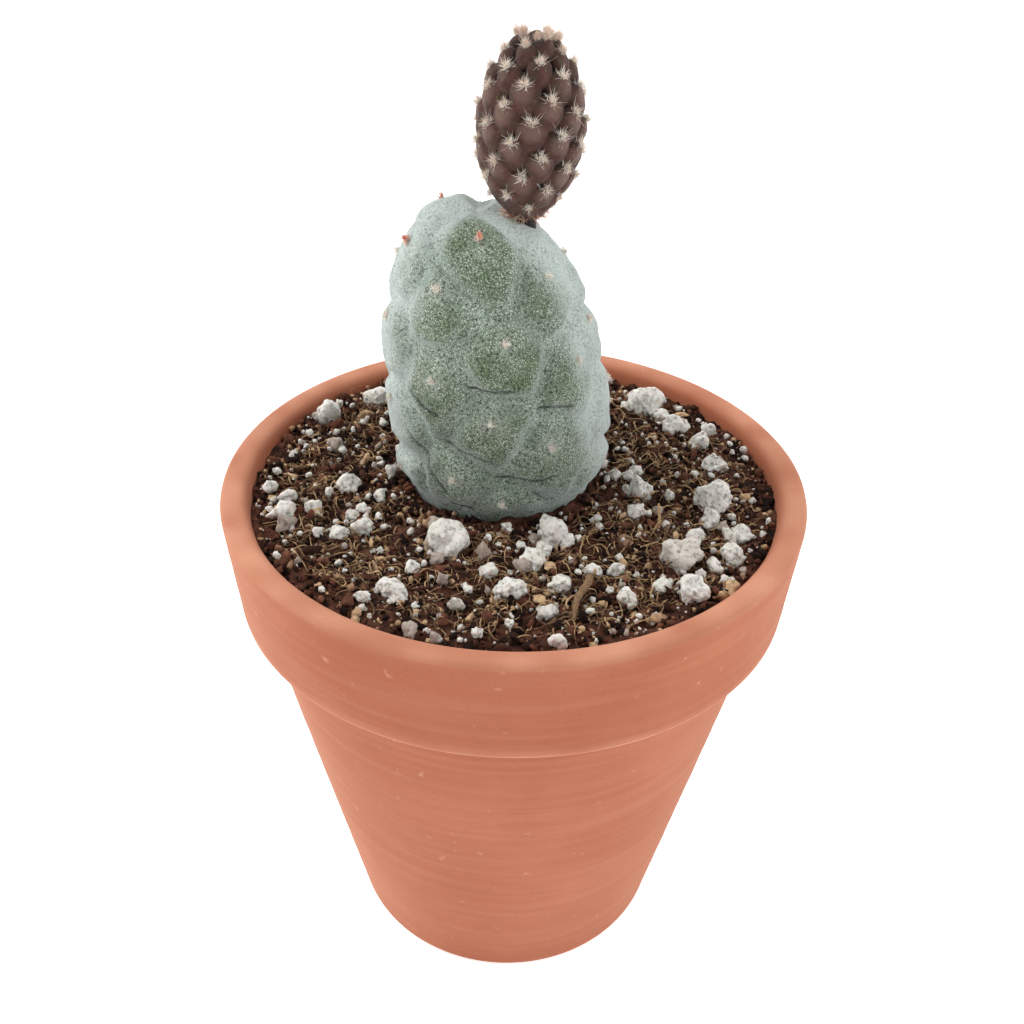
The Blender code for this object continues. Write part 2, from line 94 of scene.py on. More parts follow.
# Where an areole sits off its whorl's even places: whorl and number, then degrees round and millimetres up
AREOLE_NUDGES = {
    (0, 4): (3.0, -2.5), (1, 0): (14.0, 1.3), (1, 4): (4.0, 0.2), (2, 4): (7.0, 0.2), (3, 4): (10.0, 2.2),
    (4, 3): (-7.0, 1.5), (4, 4): (4.0, 1.5), (5, 2): (6.0, -3.4), (5, 3): (-10.0, 3.0),
}

# Dry cracks low on the old segment: degrees from the front and height, at one end and at the other
CRACKS = (
    (-14, 128.6, 14, 128.4), (21, 124.8, 45, 124.0), (-52, 127.2, -24, 121.6), (-31, 118.4, 1, 115.0),
    (-5, 111.6, 31, 111.3), (-52, 119.0, -24, 106.4), (-28, 104.8, -13, 104.3), (150, 120.0, 196, 117.5),
    (95, 113.0, 130, 115.0), (214, 127.0, 250, 124.0), (225, 110.0, 262, 112.5),
)

# Large perlite lumps seen in the photograph: x, y, width in millimetres, and share of brown in their colour
LARGE_LUMPS = (
    (-11.4, -21.0, 7.2, 0.0), (6.5, -17.0, 5.8, 0.0), (-0.6, -34.0, 4.9, 0.0), (3.5, -25.2, 4.6, 0.0),
    (28.7, -23.7, 7.0, 0.3), (36.5, -6.7, 7.2, 0.0), (-38.3, 22.0, 5.6, 0.0), (-30.9, -3.4, 3.8, 0.0),
    (-19.3, -34.4, 4.2, 0.0), (-41.0, -13.7, 5.0, 0.0), (7.6, -31.9, 3.8, 0.0), (24.0, -2.0, 5.0, 0.0),
    (18.9, -34.6, 4.0, 0.0), (29.4, -33.0, 5.2, 0.0), (38.0, -22.0, 4.6, 0.0), (27.6, 30.9, 6.6, 0.0),
    (-29.7, 31.0, 5.3, 0.0), (22.0, -11.0, 3.9, 0.0), (-26.5, -15.8, 4.0, 0.0), (38.6, 5.8, 4.2, 0.0),
    (-5.0, -23.5, 3.6, 0.8), (-36.0, -10.5, 3.0, 0.0), (32.0, -17.5, 3.6, 0.0), (-16.9, -27.5, 3.1, 0.0),
    (33.5, 22.0, 5.0, 0.1), (37.0, 16.0, 4.4, 0.0), (41.0, -15.5, 4.2, 0.0), (24.5, -30.5, 3.2, 0.0),
    (-24.0, -35.6, 2.8, 0.0), (30.0, 27.0, 4.2, 0.0), (35.5, -11.5, 3.8, 0.0), (13.5, -27.0, 2.8, 0.0),
)

# Camera, worked out from the photograph's pot rims and band
CAMERA_PLACE = (-0.255, -170.23, 212.17)
CAMERA_PITCH, CAMERA_ROLL = math.radians(34.423), math.radians(1.297)
CAMERA_LENS, SENSOR_WIDTH = 37.65, 36.0


# Numbers and meshes

def linear(code):
    """A colour written as sRGB hex, turned into the linear values that shaders take."""
    values = [int(code[i:i + 2], 16) / 255.0 for i in (1, 3, 5)]
    return tuple(v / 12.92 if v <= 0.04045 else ((v + 0.055) / 1.055) ** 2.4 for v in values) + (1.0,)


def smooth_step(value):
    """An easy ramp from 0 to 1: three times the square less twice the cube."""
    value = np.clip(value, 0.0, 1.0)
    return value * value * (3.0 - 2.0 * value)


def lattice_noise(points, size, seed):
    """Smooth noise from -1 to 1: random values at the corners of cubes of that size, blended between them."""
    cells = np.asarray(points) / size + 1000.0 + 17.3 * seed
    low = np.floor(cells).astype(np.int64)
    share = smooth_step(cells - low)
    total = np.zeros(len(cells))
    for corner in np.ndindex(2, 2, 2):
        at = low + corner
        mixed = (at[:, 0] * 73856093) ^ (at[:, 1] * 19349663) ^ (at[:, 2] * 83492791) ^ (seed * 2654435)
        mixed = (mixed ^ (mixed >> 13)) * 1274126177 & 0x7FFFFFFF
        value = ((mixed >> 7) % 65536) / 32767.5 - 1.0
        weight = np.prod(np.where(np.array(corner) == 1, share, 1.0 - share), axis=1)
        total += value * weight
    return total


def layered_noise(points, size, seed, layers=3, fade=0.5):
    """Sum of ever finer lattice noises, each half the size of the last."""
    return sum(fade ** k * lattice_noise(points, size / 2 ** k, seed + k) for k in range(layers))


def round_angles(count):
    """Even angles once round."""
    return 2.0 * math.pi * np.arange(count) / count


def grid_faces(rows, columns):
    """Quads of a two-parameter grid, whose columns close round."""
    row, column = np.meshgrid(np.arange(rows - 1), np.arange(columns), indexing="ij")
    after = (column + 1) % columns
    quads = np.stack([row * columns + column, row * columns + after,
                      (row + 1) * columns + after, (row + 1) * columns + column], axis=-1)
    return quads.reshape(-1, 4)


def make_piece(name, points, faces, material, node, values):
    """A mesh object from points in millimetres, riding on the root, with values stored at its points."""
    mesh = bpy.data.meshes.new(name)
    sides = faces.shape[1]
    mesh.vertices.add(len(points))
    mesh.vertices.foreach_set("co", (np.asarray(points) * MM).astype(np.float32).ravel())
    mesh.loops.add(faces.size)
    mesh.loops.foreach_set("vertex_index", faces.astype(np.int32).ravel())
    mesh.polygons.add(len(faces))
    mesh.polygons.foreach_set("loop_start", np.arange(0, faces.size, sides, dtype=np.int32))
    mesh.update(calc_edges=True)
    for key, value in values.items():
        layer = mesh.attributes.new(key, "FLOAT", "POINT")
        layer.data.foreach_set("value", np.asarray(value, dtype=np.float32))
    mesh.validate()
    mesh.shade_smooth()
    mesh.materials.append(material)
    piece = bpy.data.objects.new(name, mesh)
    bpy.context.scene.collection.objects.link(piece)
    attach(piece, "root")
    if node:
        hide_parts(node)


def ball(detail):
    """Points and faces of a round ball of triangles."""
    mesh = bmesh.new()
    bmesh.ops.create_icosphere(mesh, subdivisions=detail, radius=1.0)
    points = np.array([vert.co for vert in mesh.verts])
    faces = np.array([[vert.index for vert in face.verts] for face in mesh.faces])
    mesh.free()
    return points, faces


def repeated_faces(faces, count, step):
    """The faces of many like pieces in one mesh: each copy's point numbers start one step further on."""
    return (faces[None] + (np.arange(count) * step)[:, None, None]).reshape(-1, faces.shape[1])


def turns(count, draw, tilt):
    """Random turns: about Z by any angle, then about X by up to the tilt, as matrices."""
    spin, lean = draw.uniform(0.0, 2.0 * math.pi, count), draw.uniform(-tilt, tilt, count)
    about_z, about_x = np.zeros((count, 3, 3)), np.zeros((count, 3, 3))
    about_z[:, 0, 0], about_z[:, 0, 1] = np.cos(spin), -np.sin(spin)
    about_z[:, 1, 0], about_z[:, 1, 1], about_z[:, 2, 2] = np.sin(spin), np.cos(spin), 1.0
    about_x[:, 0, 0], about_x[:, 1, 1], about_x[:, 1, 2] = 1.0, np.cos(lean), -np.sin(lean)
    about_x[:, 2, 1], about_x[:, 2, 2] = np.sin(lean), np.cos(lean)
    return about_z @ about_x


def grains(centers, widths, shape, detail, roughness, seed):
    """Rough grains: balls cut by nine random flats, stretched, pushed by noise, turned and set in place."""
    draw = np.random.default_rng(seed)
    unit, faces = ball(detail)
    count = len(centers)
    stretch = draw.uniform(shape[0], shape[1], (count, 1, 3))
    shifts = draw.uniform(0.0, 200.0, (count, 1, 3))
    at = (unit[None] + shifts).reshape(-1, 3)
    push = lattice_noise(at, 0.6, seed) * 0.45 + layered_noise(at, 0.3, seed + 3, 2) * 0.45
    flats = draw.normal(size=(count, 9, 3))
    flats /= np.linalg.norm(flats, axis=2, keepdims=True)
    facing = np.maximum(np.einsum("vj,npj->nvp", unit, flats), 0.05)
    cut = np.minimum((draw.uniform(0.62, 0.95, (count, 1, 9)) / facing).min(axis=2), 1.12)
    local = unit[None] * stretch * (cut[..., None] + roughness * push.reshape(count, -1, 1))
    local = np.einsum("nij,nkj->nki", turns(count, draw, 0.5), local)
    points = centers[:, None] + 0.5 * np.asarray(widths)[:, None, None] * local
    tone = np.repeat(draw.random(count), len(unit))
    return points.reshape(-1, 3), repeated_faces(faces, count, len(unit)), tone


def strands(paths, radii, sides):
    """Thin tubes along many paths of equal length, by one row of radii for all, or a row for each."""
    count, steps, _ = paths.shape
    along = np.gradient(paths, axis=1)
    along /= np.linalg.norm(along, axis=2, keepdims=True) + 1e-9
    helper = np.where(np.abs(along[..., 2:3]) > 0.8, [[[1.0, 0.0, 0.0]]], [[[0.0, 0.0, 1.0]]])
    first = np.cross(along, helper)
    first /= np.linalg.norm(first, axis=2, keepdims=True) + 1e-9
    second = np.cross(along, first)
    angles = round_angles(sides)
    ring = np.cos(angles)[:, None] * first[:, :, None] + np.sin(angles)[:, None] * second[:, :, None]
    points = paths[:, :, None] + ring * np.atleast_2d(radii)[:, :, None, None]
    return points.reshape(-1, 3), repeated_faces(grid_faces(steps, sides), count, steps * sides)


# Materials

def add_node(tree, kind, output=0, **values):
    """Add a shader node and give one of its outputs.

    A value named p_x sets the property x, i_n sets input number n, and any other name sets the input of that
    label. A value that is a socket is linked.
    """
    node = tree.nodes.new("ShaderNode" + kind)
    for key, value in values.items():
        if key.startswith("p_"):
            setattr(node, key[2:], value)
            continue
        socket = node.inputs[int(key[2:])] if key.startswith("i_") else node.inputs[key.replace("_", " ")]
        if isinstance(value, bpy.types.NodeSocket):
            tree.links.new(value, socket)
        else:
            socket.default_value = value
    return node.outputs[output]


def new_pattern(tree, place, kind, size, detail=4.0, roughness=0.55):
    """A pattern: a value stored at the points, or cells, noise or drawn-out lines, sized in millimetres."""
    if kind == "value":
        return add_node(tree, "Attribute", "Fac", p_attribute_name=size)
    if kind == "lines":
        place = add_node(tree, "Mapping", Vector=place, Scale=(LINE_SQUEEZE, LINE_SQUEEZE, 1.0))
    scale = 1.0 / (size * MM)
    if kind == "cells":
        return add_node(tree, "TexVoronoi", "Distance", Vector=place, Scale=scale)
    return add_node(tree, "TexNoise", "Fac", Vector=place, Scale=scale, Detail=detail, Roughness=roughness)


def painted(name, base, layers, relief=(), depth_mm=0.0, strength=1.0, **shader_values):
    """A material painted in layers over a base colour, with a relief.

    A mask is a pattern and the low and high ends that are stretched to 0 and 1, or to its least and 1. A
    layer is a weight, a colour and masks: it shows by the masks' product times the weight. The relief is the
    sum of its masks, each times its weight.
    """
    material = bpy.data.materials.new(name)
    material.use_nodes = True
    tree = material.node_tree
    shader = tree.nodes["Principled BSDF"]
    for key, value in shader_values.items():
        shader.inputs[key.replace("_", " ")].default_value = value
    place = add_node(tree, "TexCoord", "Object")
    made = {}

    def mask(weight, pattern, low=0.0, high=1.0, least=0.0):
        if pattern not in made:
            made[pattern] = new_pattern(tree, place, *pattern)
        return add_node(tree, "MapRange", Value=made[pattern], From_Min=low, From_Max=high,
                        To_Min=least * weight, To_Max=weight)

    color = base
    for weight, shade, first, *others in layers:
        share = mask(weight, *first)
        for other in others:
            share = add_node(tree, "Math", p_operation="MULTIPLY", i_0=share, i_1=mask(1.0, *other))
        shade = linear(shade) if isinstance(shade, str) else shade
        color = add_node(tree, "Mix", 2, p_data_type="RGBA", i_0=share, i_6=color, i_7=shade)
    tree.links.new(color, shader.inputs["Base Color"])
    if relief:
        height = 0.0
        for weight, *row in relief:
            height = add_node(tree, "Math", p_operation="ADD", i_0=height, i_1=mask(weight, *row))
        normal = add_node(tree, "Bump", Height=height, Distance=depth_mm * MM, Strength=strength)
        tree.links.new(normal, shader.inputs["Normal"])
    return material


def terracotta(clay):
    """Unglazed terracotta: matt turned and fired clay with grog, faint lines, pale lime on its edges, and
    painted top light on the lip.

    The grog lies about 1 mm apart, and the turning lines 0.7 and 2.2 mm. The clay's own grain is a tenth of
    a millimetre, and is drawn at 0.45 mm so that the render shows it.
    """
    return painted(
        "terracotta", clay,
        ((1.0, "#AE6A4E", (("noise", 30.0), 0.3, 0.7)),
         (0.18, "#CF9070", (("lines", 2.2), 0.45, 0.75)),
         (0.2, "#9C563B", (("lines", 0.7), 0.55, 0.8)),
         (0.45, "#854630", (("cells", 1.1), 0.16, 0.08)),
         (0.3, "#E0AE92", (("noise", 2.6, 6.0), 0.66, 0.74)),
         # Lime and wear on the band's foot and the lip, with painted top light that makes the lip paler
         (0.75, "#E8AD8F", (("value", "edge"),))),
        relief=((1.0, ("noise", 0.45, 3.0)), (0.8, ("lines", 0.6))), depth_mm=0.1, strength=0.55,
        Roughness=0.88, Specular_IOR_Level=0.25, Sheen_Weight=0.25, Sheen_Roughness=0.35,
        Sheen_Tint=linear("#FFD0B2"))


def potting_soil(name, peat):
    """Potting soil: dark peat and tan fibre, dull all over, each crumb in a tone of its own."""
    return painted(
        name, linear("#1E120E"),
        ((1.0, peat, (("value", "tone"), 0.1, 0.8)),
         (1.0, "#D2B08A", (("value", "tone"), 0.75, 0.92)),
         (0.6, "#180E0A", (("noise", 0.9), 0.45, 0.7))),
        relief=((1.0, ("noise", 0.5, 5.0, 0.7)),), depth_mm=0.25, strength=0.9,
        Roughness=0.95, Specular_IOR_Level=0.15)


def perlite():
    """Perlite: white popped glass, chalky and pitted, darker in its pits, with some lumps stained brown."""
    pits = (("noise", 0.9, 5.0, 0.7), 0.53, 0.66)
    return painted(
        "perlite", linear("#E4E1DA"),
        ((0.5, "#B8AFA2", (("noise", 1.4), 0.5, 0.75)),
         # Darker where the pits are sunk
         (0.7, "#7A6C5E", pits),
         (1.0, "#8A7160", (("value", "stain"),))),
        relief=((1.0, ("noise", 0.5, 4.0)), (-0.8, *pits)), depth_mm=0.22, strength=0.9,
        Roughness=0.8, Subsurface_Weight=0.15, Subsurface_Scale=0.0005)


def bark():
    """Dry bark and straw: dull grey-brown and tan, with fine cracks half a millimetre apart."""
    return painted(
        "dry_bark", linear("#4E3325"),
        ((1.0, "#D0AC80", (("value", "tone"),)),
         (0.55, "#2C1C14", (("noise", 0.5), 0.45, 0.7))),
        relief=((1.0, ("noise", 0.35)),), depth_mm=0.12,
        Roughness=0.85, Specular_IOR_Level=0.3)


def old_skin(skin):
    """Waxy cactus skin: grey blue-green under a white coat of fine papillae, greener where the wax is thin,
    and painted paler on both sides and the shoulder as rim light and top light.

    Real papillae are about 0.1 mm apart. They are drawn 0.28 mm apart, so that the render shows them.
    """
    papillae, grain, frost = ("cells", 0.28), ("noise", 0.5, 5.0, 0.8), ("noise", 4.0, 4.0, 0.6)
    return painted(
        "blue_green_skin", skin,
        ((1.0, "#4A5E37", (("noise", 9.0, 3.0), 0.4, 0.6)),
         (0.5, "#5E6E58", (("value", "low"),)),
         (0.4, "#86857C", (("noise", 5.0, 3.0), 0.55, 0.75)),
         (0.5, "#93A598", (("value", "crest"), 0.8, 0.0)),
         (0.55, "#4E6A3C", (("value", "crest"),), (("noise", 6.0, 3.0), 0.3, 0.7)),
         (0.5, "#B8C8BC", (("value", "ridge"),)),
         (0.45, "#C3CEC6", (("value", "halo"),)),
         # Painted rim light and top light, with thicker wax there: paler on both sides and the shoulder
         (0.68, "#BFCEC8", (("value", "bloom_and_rim_light"),)),
         (0.22, "#A8B8A8", (frost, 0.35, 0.65)),
         (0.85, "#EEF4EC", (papillae, 0.45, 0.2), (frost, 0.35, 0.56, 0.4167)),
         (0.9, "#223019", (grain, 0.51, 0.58)),
         # More painted rim light and top light on the sides and the shoulder
         (0.33, "#E0EAE6", (("value", "bloom_and_rim_light"),)),
         (0.85, "#222B24", (("value", "crease"), 0.15, 0.7))),
        relief=((0.8, grain), (-1.0, papillae)), depth_mm=0.22, strength=0.9,
        Roughness=0.6, Specular_IOR_Level=0.3, Sheen_Weight=1.0, Sheen_Roughness=0.35,
        Sheen_Tint=linear("#EAF4F6"))


def young_skin(scale):
    """Young cactus skin: dull purple-brown scales with some green on them, painted shade in the clefts and a
    painted highlight on the tubercles' tops.
    """
    return painted(
        "purple_brown_skin", linear("#3B211B"),
        ((1.0, scale, (("noise", 2.2), 0.35, 0.65)),
         (0.5, "#474530", (("noise", 1.3), 0.48, 0.68)),
         # Painted shade in the clefts between the tubercles
         (1.0, "#271A19", (("value", "lift"), 0.5, 0.05)),
         # Painted highlight on the tubercles' tops
         (0.4, "#8A7065", (("value", "lift"), 0.78, 1.0)),
         (0.3, "#A8948A", (("noise", 0.35), 0.62, 0.72))),
        relief=((1.0, ("noise", 0.35, 4.0, 0.7)),), depth_mm=0.16, strength=0.8,
        Roughness=0.7, Specular_IOR_Level=0.3, Sheen_Weight=0.1, Sheen_Roughness=0.4)


def wool(hair):
    """Plant wool and bristles: soft cream hairs, tan at their roots and orange on the youngest."""
    return painted(
        "wool", hair,
        ((1.0, "#B87440", (("value", "tone"),)),
         (1.0, "#D9663F", (("value", "red"),))),
        Roughness=0.7, Subsurface_Weight=0.2, Subsurface_Scale=0.0004)


# Shapes

def wall_radius(height):
    """Inner radius of the pot at a height in millimetres."""
    knee, lip = POT_HEIGHT - BAND_HEIGHT, POT_HEIGHT - LIP_INNER_ROUNDING
    return np.interp(height, (FLOOR_THICKNESS, knee, lip), (FLOOR_RADIUS, WALL_KNEE_RADIUS, LIP_INNER_RADIUS))


def rounded_profile(corners):
    """A closed outline of straight runs with each corner rounded: corners are radius, height and rounding.

    A rounding is a quadratic curve with the sharp corner as its middle handle.
    """
    points = []
    count = len(corners)
    for i, (radius, height, rounding) in enumerate(corners):
        here = np.array((radius, height))
        before = np.array(corners[i - 1][:2]) - here
        after = np.array(corners[(i + 1) % count][:2]) - here
        start = here + before / np.linalg.norm(before) * rounding
        end = here + after / np.linalg.norm(after) * rounding
        for share in np.linspace(0.0, 1.0, CORNER_STEPS):
            points.append((1 - share) ** 2 * start + 2 * share * (1 - share) * here + share ** 2 * end)
    dense = []
    for first, second in zip(points, points[1:] + points[:1]):
        pieces = max(1, int(np.linalg.norm(second - first) / PROFILE_STEP))
        dense += [first + (second - first) * k / pieces for k in range(pieces)]
    return np.array(dense)


def build_pot(sides, clay):
    """A rounded wall profile spun round Z, pushed in and out a little as a hand-finished pot is."""
    knee = POT_HEIGHT - BAND_HEIGHT
    corners = ((DRAIN_RADIUS, 0.0, 0.8), (BASE_RADIUS, 0.0, 1.0), (BODY_TOP_RADIUS, knee, 0.5),
               (BAND_FOOT_RADIUS, knee, 0.8), (RIM_RADIUS, POT_HEIGHT, LIP_OUTER_ROUNDING),
               (LIP_INNER_RADIUS, POT_HEIGHT, LIP_INNER_ROUNDING), (WALL_KNEE_RADIUS, knee, 2.0),
               (FLOOR_RADIUS, FLOOR_THICKNESS, 3.0), (DRAIN_RADIUS, FLOOR_THICKNESS, 0.8))
    profile = rounded_profile(corners)
    rows = np.vstack([profile, profile[:1]])
    angles = round_angles(sides)
    radius, height = rows[:, :1], rows[:, 1:]
    points = np.stack([radius * np.cos(angles), radius * np.sin(angles), height.repeat(sides, 1)], axis=-1)
    points = points.reshape(-1, 3)
    outward = points * (1.0, 1.0, 0.0) / np.linalg.norm(points[:, :2], axis=1)[:, None]
    # Broad waves from the hand, and turning lines
    wave = 0.08 * lattice_noise(points, 26.0, 3) + 0.05 * lattice_noise(points * (0.2, 0.2, 1.0), 2.4, 5)
    resting = smooth_step((points[:, 2] - 1.0) / 3.0)
    moved = points + outward * (wave * resting)[:, None]
    spun = np.hypot(points[:, 0], points[:, 1])
    # Lime and wear show on the band's foot and on the lip, and the lip is also painted paler as top light
    band_foot = np.exp(-((points[:, 2] - knee) / 0.8) ** 2) * (spun > BODY_TOP_RADIUS + 1.0)
    # Painted top light: the lip's share, which also holds its lime and wear
    lip = smooth_step((points[:, 2] - POT_HEIGHT + 1.6) / 1.6) * (spun > LIP_INNER_RADIUS - 1.0)
    worn = 0.6 + 0.4 * lattice_noise(points, 5.0, 9)
    faces = grid_faces(len(rows), sides)
    make_piece("pot_wall", moved, faces, terracotta(clay), "pot",
               {"edge": np.clip((band_foot + 0.7 * lip) * worn, 0.0, 1.0)})


def soil_level(x, y):
    """Level of the soil in millimetres: the same long rolls as the frame's soil."""
    roll = 0.5 * np.sin(0.19 * x + 0.7) * np.cos(0.16 * y - 0.4)
    roll += 0.35 * np.sin(0.41 * x - 0.33 * y + 1.9) + 0.25 * np.cos(0.55 * y + 0.27 * x)
    return SOIL_LEVEL + SOIL_ROLL * roll


def outline_center(height):
    """Centre x of the old segment's straight-line outline at a height in millimetres."""
    return np.interp(height, SEGMENT_KNOTS[:, 0], SEGMENT_KNOTS[:, 1])


def outline_radius(height):
    """Radius of the old segment's straight-line outline at a height in millimetres."""
    return np.interp(height, SEGMENT_KNOTS[:, 0], SEGMENT_KNOTS[:, 2])


def build_soil(sides, rows, peat):
    """The soil's plug: rings from the hole round the plant's foot out to the wall, then down and under."""
    angles = round_angles(sides)
    circle = np.stack([np.cos(angles), np.sin(angles)], axis=-1)

    def ring(center, radius, height):
        flat = np.array(center) + radius * circle
        return np.column_stack([flat, np.full(sides, height)])

    foot = (FOOT_X, SEGMENT_Y)
    knots = SEGMENT_KNOTS
    inner = ring(foot, outline_radius(SOIL_LEVEL) + FOOT_GAP, SOIL_LEVEL)
    outer = ring((0.0, 0.0), wall_radius(SOIL_EDGE_LEVEL) - SOIL_GAP, SOIL_EDGE_LEVEL)
    rings = [ring(foot, POLE_RADIUS, knots[0][0] - SOIL_GAP),
             ring(foot, knots[0][2] + SOIL_GAP, knots[0][0] - SOIL_GAP),
             ring(foot, knots[1][2] + SOIL_GAP, knots[1][0])]
    for share in np.linspace(0.0, 1.0, rows):
        level = inner + (outer - inner) * share
        # The rolls ease off towards the foot and the wall
        ease = min(1.0, 4.0 * share + 0.2, 5.0 * (1.0 - share) + 0.2)
        level[:, 2] += (soil_level(level[:, 0], level[:, 1]) - level[:, 2]) * ease
        level[:, 2] += 0.6 * layered_noise(level, 3.2, 21, 4, 0.65)
        rings.append(level)
    rings += [ring((0, 0), WALL_KNEE_RADIUS - SOIL_GAP, POT_HEIGHT - BAND_HEIGHT),
              ring((0, 0), FLOOR_RADIUS - SOIL_GAP, FLOOR_THICKNESS + SOIL_GAP),
              ring((0, 0), POLE_RADIUS, FLOOR_THICKNESS + SOIL_GAP)]
    points = np.vstack(rings)
    tone = 0.35 + 0.3 * layered_noise(points, 1.5, 31)
    make_piece("soil_bed", points, grid_faces(len(rings), sides), potting_soil("potting_soil", peat), "soil",
               {"tone": np.clip(tone, 0.0, 0.8)})


def scatter(count, draw, clearance):
    """Random places on the soil, in millimetres, between the plant's foot and the pot's wall."""
    reach = (wall_radius(SOIL_LEVEL) - clearance) * np.sqrt(draw.random(3 * count))
    angle = draw.uniform(0.0, 2.0 * math.pi, 3 * count)
    x, y = reach * np.cos(angle), reach * np.sin(angle)
    free = np.hypot(x - FOOT_X, y - SEGMENT_Y) > outline_radius(SOIL_LEVEL) + clearance
    return np.column_stack([x, y, soil_level(x, y)])[free][:count]


def build_crumbs(count, peat):
    """Peat crumbs of three sizes, thick enough to hide the bed beneath them."""
    draw = np.random.default_rng(41)
    for name, share, size, detail in (("coarse", 0.05, (1.3, 2.5), 2), ("middle", 0.34, (0.8, 1.6), 1),
                                      ("fine", 1.0, (0.35, 0.9), 1)):
        number = int(count * share)
        widths = draw.uniform(*size, number)
        centers = scatter(number, draw, 0.9)
        widths = widths[:len(centers)]
        centers[:, 2] += 0.1 * widths + draw.uniform(-0.1, 0.7, len(centers)) * 0.6
        points, faces, tone = grains(centers, widths, (0.3, 1.6), detail, 0.75, 51 + detail + number % 7)
        make_piece("soil_crumbs_" + name, points, faces, potting_soil("soil_crumbs", peat), None,
                   {"tone": tone ** 1.3})


def build_perlite(small):
    """White lumps: the large ones where the photograph shows them, and small ones scattered between."""
    material = perlite()
    table = np.array(LARGE_LUMPS)
    x, y, width, brown = table.T
    centers = np.column_stack([x, y, soil_level(x, y) + 0.2 * width])
    points, faces, _ = grains(centers, width * 1.05, (0.74, 1.08), 4, 0.34, 61)
    stain = np.repeat(brown, len(points) // len(table))
    make_piece("perlite_large", points, faces, material, None, {"stain": stain})
    draw = np.random.default_rng(71)
    for name, number, size, detail in (("middle", small // 5, (1.8, 3.4), 3), ("fine", small, (0.7, 1.6), 2),
                                       ("specks", small, (0.35, 0.8), 1)):
        centers = scatter(number, draw, 1.6)
        widths = draw.uniform(*size, len(centers))
        centers[:, 2] += 0.3 * widths + 0.35
        points, faces, tone = grains(centers, widths, (0.65, 1.15), detail, 0.45, 73 + detail)
        make_piece("perlite_" + name, points, faces, material, None,
                   {"stain": np.where(tone > 0.86, 0.7, 0.15 * tone)})


def build_fibres(count):
    """Coir fibres and bark shreds lying on the soil, each a thin bent strand."""
    draw = np.random.default_rng(81)
    along = np.linspace(-0.5, 0.5, FIBRE_STEPS)
    starts = scatter(count, draw, 4.5)
    count = len(starts)
    length = draw.uniform(1.2, 6.0, count)[:, None]
    angle = draw.uniform(0.0, 2.0 * math.pi, count)[:, None]
    bend = draw.uniform(-1.4, 1.4, count)[:, None]
    heading = angle + bend * along
    x = starts[:, :1] + length * along * np.cos(heading)
    y = starts[:, 1:2] + length * along * np.sin(heading)
    # Strands that would cross the plant's foot are pushed out round it
    away = np.hypot(x - FOOT_X, y - SEGMENT_Y)
    push = np.maximum(1.0, (outline_radius(104.0) + 1.4) / away)
    x, y = FOOT_X + (x - FOOT_X) * push, SEGMENT_Y + (y - SEGMENT_Y) * push
    z = soil_level(x, y) + 0.55 + 0.35 * np.sin(7.0 * along + 3.0 * angle)
    z += draw.uniform(0.0, 0.5, count)[:, None]
    radii = draw.uniform(0.06, 0.17, count)[:, None] * (1.0 - 0.9 * np.abs(2.0 * along) ** 3)
    points, faces = strands(np.stack([x, y, z], axis=-1), radii, HAIR_SIDES)
    make_piece("soil_fibres", points, faces, bark(), None,
               {"tone": np.repeat(draw.random(count) ** 1.3, FIBRE_STEPS * HAIR_SIDES)})


def build_litter():
    """The twig, the bark curl beside it, and the upright straw."""
    along = np.linspace(0.0, 1.0, LITTER_STEPS)
    twig = np.array((12.6, -31.5, 104.6)) + np.outer(along, (-3.2, -9.2, -1.2))
    twig[:, 2] += 0.5 * np.sin(5.0 * along)
    twig[:, 0] += 0.35 * np.sin(8.0 * along)
    swirl = 1.2 * math.pi * along
    curl = np.column_stack([10.0 + 1.3 * np.cos(swirl), -35.5 - 3.2 * along + 1.1 * np.sin(swirl),
                            103.6 + 0.7 * along])
    straw = np.array((26.2, -13.5, 102.3)) + np.outer(along, (-0.5, 0.8, 4.6))
    paths = np.stack([twig, curl, straw])
    radii = np.array((0.62, 0.22, 0.28))[:, None] * (1.0 - 0.45 * along ** 3)
    radii *= 1.0 + 0.12 * np.sin(40 * along)
    radii[:, (0, -1)] *= 0.3
    points, faces = strands(paths, radii, LITTER_SIDES)
    points += 0.07 * lattice_noise(points, 0.6, 91)[:, None]
    make_piece("soil_litter", points, faces, bark(), None,
               {"tone": np.repeat((0.3, 0.75, 1.0), LITTER_STEPS * LITTER_SIDES)})


def round_segment(turn, center, radius, height):
    """Points of a radius round the old segment's leaning middle, turned from the front."""
    return np.stack([center + radius * np.sin(turn), SEGMENT_Y - radius * np.cos(turn), height], axis=-1)


def segment_surface(turn, place):
    """Point of the plain old segment: a smooth curve through its knots by place, turned from the front."""
    knots = SEGMENT_KNOTS
    last = len(knots) - 1
    low = np.minimum(place.astype(int), last - 1)
    share = (place - low)[:, None]
    p0, p1 = knots[np.maximum(low - 1, 0)], knots[low]
    p2, p3 = knots[low + 1], knots[np.minimum(low + 2, last)]
    slope, next_slope = 0.5 * (p2 - p0), 0.5 * (p3 - p1)
    square, cube = share ** 2, share ** 3
    values = ((2 * cube - 3 * square + 1) * p1 + (cube - 2 * square + share) * slope
              + (3 * square - 2 * cube) * p2 + (cube - square) * next_slope)
    height, center, radius = values.T
    return round_segment(turn, center, np.maximum(radius, 0.0), height), center


